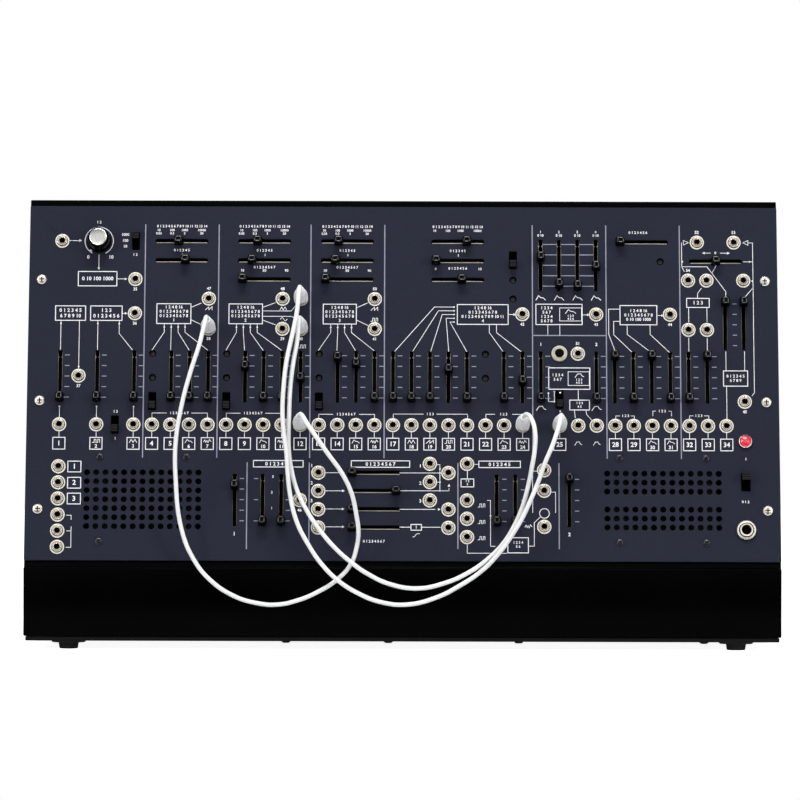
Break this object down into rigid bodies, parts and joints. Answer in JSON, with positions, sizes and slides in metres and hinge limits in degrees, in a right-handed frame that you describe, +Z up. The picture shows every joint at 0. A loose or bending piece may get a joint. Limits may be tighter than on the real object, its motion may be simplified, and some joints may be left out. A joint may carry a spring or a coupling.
{
  "type": "modular synthesizer",
  "caption": "Table-top modular synthesizer: steel case with a leaning panel of slide controls, patch sockets, switches, a knob, speaker grilles and white patch cords.",
  "frame": {"origin": "centre of the box around the synthesizer without its patch cords, on the level the feet stand on", "axes": "+X to the player's right, +Y from the front panel to the rear cover, +Z up"},
  "size_m": [0.516, 0.1585, 0.308],
  "materials": {
    "slate_paint": "dark slate-blue powder coat",
    "gloss_black": "gloss black paint",
    "satin_black": "satin black paint",
    "black_plastic": "glossy black moulding",
    "board": "solder-masked board",
    "speaker_black": "paper cone and painted basket",
    "nickel": "nickel plate",
    "red_jewel": "clear red jewel",
    "white_moulding": "moulded white",
    "white_jacket": "white cord jacket"
  },
  "bodies": {
    "case": {"base_and_rear_cover": "satin_black", "cabinet_shell": "gloss_black", "control_board": "board", "front_panel": "slate_paint", "headphone_socket": "nickel", "left_speaker": "speaker_black", "patch_cord_inner": "white_jacket", "patch_cord_inner_first_plug": "white_moulding", "patch_cord_inner_second_plug": "white_moulding", "patch_cord_left": "white_jacket", "patch_cord_left_first_plug": "white_moulding", "patch_cord_left_second_plug": "white_moulding", "patch_cord_outer": "white_jacket", "patch_cord_outer_first_plug": "white_moulding", "patch_cord_outer_second_plug": "white_moulding", "power_lamp": "red_jewel", "rear_socket_board": "board", "reverb_tank": "nickel", "right_speaker": "speaker_black"},
    "vco1_frequency_slider": {"vco1_frequency_slider": "black_plastic"},
    "vco1_fine_tune_slider": {"vco1_fine_tune_slider": "black_plastic"},
    "vco2_frequency_slider": {"vco2_frequency_slider": "black_plastic"},
    "vco2_fine_tune_slider": {"vco2_fine_tune_slider": "black_plastic"},
    "vco2_pulse_width_slider": {"vco2_pulse_width_slider": "black_plastic"},
    "vco3_frequency_slider": {"vco3_frequency_slider": "black_plastic"},
    "vco3_fine_tune_slider": {"vco3_fine_tune_slider": "black_plastic"},
    "vco3_pulse_width_slider": {"vco3_pulse_width_slider": "black_plastic"},
    "filter_frequency_slider": {"filter_frequency_slider": "black_plastic"},
    "filter_fine_tune_slider": {"filter_fine_tune_slider": "black_plastic"},
    "filter_resonance_slider": {"filter_resonance_slider": "black_plastic"},
    "amplifier_gain_slider": {"amplifier_gain_slider": "black_plastic"},
    "pan_slider": {"pan_slider": "black_plastic"},
    "processor_1_slider": {"processor_1_slider": "black_plastic"},
    "processor_2_slider": {"processor_2_slider": "black_plastic"},
    "processor_3_slider": {"processor_3_slider": "black_plastic"},
    "lag_time_slider": {"lag_time_slider": "black_plastic"},
    "envelope_attack_slider": {"envelope_attack_slider": "black_plastic"},
    "envelope_decay_slider": {"envelope_decay_slider": "black_plastic"},
    "envelope_sustain_slider": {"envelope_sustain_slider": "black_plastic"},
    "envelope_release_slider": {"envelope_release_slider": "black_plastic"},
    "attack_time_slider": {"attack_time_slider": "black_plastic"},
    "release_time_slider": {"release_time_slider": "black_plastic"},
    "reverb_left_slider": {"reverb_left_slider": "black_plastic"},
    "reverb_right_slider": {"reverb_right_slider": "black_plastic"},
    "left_speaker_level_slider": {"left_speaker_level_slider": "black_plastic"},
    "noise_colour_slider": {"noise_colour_slider": "black_plastic"},
    "noise_level_slider": {"noise_level_slider": "black_plastic"},
    "sample_level_slider": {"sample_level_slider": "black_plastic"},
    "clock_rate_slider": {"clock_rate_slider": "black_plastic"},
    "right_speaker_level_slider": {"right_speaker_level_slider": "black_plastic"},
    "range_switch_lever": {"range_switch_lever": "black_plastic"},
    "ring_modulator_switch_lever": {"ring_modulator_switch_lever": "black_plastic"},
    "vco1_range_switch_lever": {"vco1_range_switch_lever": "black_plastic"},
    "vco2_range_switch_lever": {"vco2_range_switch_lever": "black_plastic"},
    "vco3_range_switch_lever": {"vco3_range_switch_lever": "black_plastic"},
    "filter_mode_switch_lever": {"filter_mode_switch_lever": "black_plastic"},
    "gate_switch_lever": {"gate_switch_lever": "black_plastic"},
    "power_switch_lever": {"power_switch_lever": "black_plastic"},
    "gain_knob": {"gain_knob": "black_plastic"},
    "start_button": {"start_button": "black_plastic"}
  },
  "joints": [
    {"name": "vco1_frequency_travel", "type": "slide", "parent": "case", "child": "vco1_frequency_slider", "axis": [1, 0, 0], "range_m": [-0.0128, 0.01721]},
    {"name": "vco1_fine_tune_travel", "type": "slide", "parent": "case", "child": "vco1_fine_tune_slider", "axis": [1, 0, 0], "range_m": [-0.01759, 0.0124]},
    {"name": "vco2_frequency_travel", "type": "slide", "parent": "case", "child": "vco2_frequency_slider", "axis": [1, 0, 0], "range_m": [-0.0102, 0.0198]},
    {"name": "vco2_fine_tune_travel", "type": "slide", "parent": "case", "child": "vco2_fine_tune_slider", "axis": [1, 0, 0], "range_m": [-0.00641, 0.0236]},
    {"name": "vco2_pulse_width_travel", "type": "slide", "parent": "case", "child": "vco2_pulse_width_slider", "axis": [1, 0, 0], "range_m": [0, 0.03]},
    {"name": "vco3_frequency_travel", "type": "slide", "parent": "case", "child": "vco3_frequency_slider", "axis": [1, 0, 0], "range_m": [-0.0089, 0.0211]},
    {"name": "vco3_fine_tune_travel", "type": "slide", "parent": "case", "child": "vco3_fine_tune_slider", "axis": [1, 0, 0], "range_m": [-0.00671, 0.02329]},
    {"name": "vco3_pulse_width_travel", "type": "slide", "parent": "case", "child": "vco3_pulse_width_slider", "axis": [1, 0, 0], "range_m": [0, 0.03]},
    {"name": "filter_frequency_travel", "type": "slide", "parent": "case", "child": "filter_frequency_slider", "axis": [1, 0, 0], "range_m": [-0.02119, 0.00881]},
    {"name": "filter_fine_tune_travel", "type": "slide", "parent": "case", "child": "filter_fine_tune_slider", "axis": [1, 0, 0], "range_m": [0, 0.03]},
    {"name": "filter_resonance_travel", "type": "slide", "parent": "case", "child": "filter_resonance_slider", "axis": [1, 0, 0], "range_m": [-0.0177, 0.0123]},
    {"name": "amplifier_gain_travel", "type": "slide", "parent": "case", "child": "amplifier_gain_slider", "axis": [1, 0, 0], "range_m": [0, 0.03]},
    {"name": "pan_travel", "type": "slide", "parent": "case", "child": "pan_slider", "axis": [1, 0, 0], "range_m": [-0.015, 0.015]},
    {"name": "processor_1_travel", "type": "slide", "parent": "case", "child": "processor_1_slider", "axis": [1, 0, 0], "range_m": [0, 0.03]},
    {"name": "processor_2_travel", "type": "slide", "parent": "case", "child": "processor_2_slider", "axis": [1, 0, 0], "range_m": [-0.03, 0]},
    {"name": "processor_3_travel", "type": "slide", "parent": "case", "child": "processor_3_slider", "axis": [1, 0, 0], "range_m": [0, 0.03]},
    {"name": "lag_time_travel", "type": "slide", "parent": "case", "child": "lag_time_slider", "axis": [1, 0, 0], "range_m": [0, 0.03]},
    {"name": "envelope_attack_travel", "type": "slide", "parent": "case", "child": "envelope_attack_slider", "axis": [0, 0.2079, 0.9781], "range_m": [-0.0203, 0.00971]},
    {"name": "envelope_decay_travel", "type": "slide", "parent": "case", "child": "envelope_decay_slider", "axis": [0, 0.2079, 0.9781], "range_m": [-0.0013, 0.02869]},
    {"name": "envelope_sustain_travel", "type": "slide", "parent": "case", "child": "envelope_sustain_slider", "axis": [0, 0.2079, 0.9781], "range_m": [0, 0.03]},
    {"name": "envelope_release_travel", "type": "slide", "parent": "case", "child": "envelope_release_slider", "axis": [0, 0.2079, 0.9781], "range_m": [-0.0138, 0.0162]},
    {"name": "attack_time_travel", "type": "slide", "parent": "case", "child": "attack_time_slider", "axis": [0, 0.2079, 0.9781], "range_m": [0, 0.03]},
    {"name": "release_time_travel", "type": "slide", "parent": "case", "child": "release_time_slider", "axis": [0, 0.2079, 0.9781], "range_m": [0, 0.03]},
    {"name": "reverb_left_travel", "type": "slide", "parent": "case", "child": "reverb_left_slider", "axis": [0, 0.2079, 0.9781], "range_m": [-0.03, 0]},
    {"name": "reverb_right_travel", "type": "slide", "parent": "case", "child": "reverb_right_slider", "axis": [0, 0.2079, 0.9781], "range_m": [-0.03, 0]},
    {"name": "left_speaker_level_travel", "type": "slide", "parent": "case", "child": "left_speaker_level_slider", "axis": [0, 0.2079, 0.9781], "range_m": [-0.025, 0.005]},
    {"name": "noise_colour_travel", "type": "slide", "parent": "case", "child": "noise_colour_slider", "axis": [0, 0.2079, 0.9781], "range_m": [0, 0.03]},
    {"name": "noise_level_travel", "type": "slide", "parent": "case", "child": "noise_level_slider", "axis": [0, 0.2079, 0.9781], "range_m": [0, 0.03]},
    {"name": "sample_level_travel", "type": "slide", "parent": "case", "child": "sample_level_slider", "axis": [0, 0.2079, 0.9781], "range_m": [0, 0.03]},
    {"name": "clock_rate_travel", "type": "slide", "parent": "case", "child": "clock_rate_slider", "axis": [0, 0.2079, 0.9781], "range_m": [0, 0.03]},
    {"name": "right_speaker_level_travel", "type": "slide", "parent": "case", "child": "right_speaker_level_slider", "axis": [0, 0.2079, 0.9781], "range_m": [-0.03, 0]},
    {"name": "range_switch_throw", "type": "slide", "parent": "case", "child": "range_switch_lever", "axis": [0, 0.2079, 0.9781], "range_m": [-0.0066, 0]},
    {"name": "ring_modulator_switch_throw", "type": "slide", "parent": "case", "child": "ring_modulator_switch_lever", "axis": [0, 0.2079, 0.9781], "range_m": [0, 0.0066]},
    {"name": "vco1_range_switch_throw", "type": "slide", "parent": "case", "child": "vco1_range_switch_lever", "axis": [0, 0.2079, 0.9781], "range_m": [0, 0.0066]},
    {"name": "vco2_range_switch_throw", "type": "slide", "parent": "case", "child": "vco2_range_switch_lever", "axis": [0, 0.2079, 0.9781], "range_m": [0, 0.0066]},
    {"name": "vco3_range_switch_throw", "type": "slide", "parent": "case", "child": "vco3_range_switch_lever", "axis": [0, 0.2079, 0.9781], "range_m": [0, 0.0066]},
    {"name": "filter_mode_switch_throw", "type": "slide", "parent": "case", "child": "filter_mode_switch_lever", "axis": [0, 0.2079, 0.9781], "range_m": [0, 0.0066]},
    {"name": "gate_switch_throw", "type": "slide", "parent": "case", "child": "gate_switch_lever", "axis": [0, 0.2079, 0.9781], "range_m": [0, 0.0066]},
    {"name": "power_switch_throw", "type": "slide", "parent": "case", "child": "power_switch_lever", "axis": [0, 0.2079, 0.9781], "range_m": [-0.0066, 0]},
    {"name": "gain_turn", "type": "hinge", "parent": "case", "child": "gain_knob", "pos_m": [-0.2101, -0.01575, 0.27949], "axis": [0, 0.9781, -0.2079], "range_deg": [0, 300]},
    {"name": "start_press", "type": "slide", "parent": "case", "child": "start_button", "axis": [0, 0.9781, -0.2079], "range_m": [0, 0.0008], "stiffness_N_per_m": 800}
  ]
}
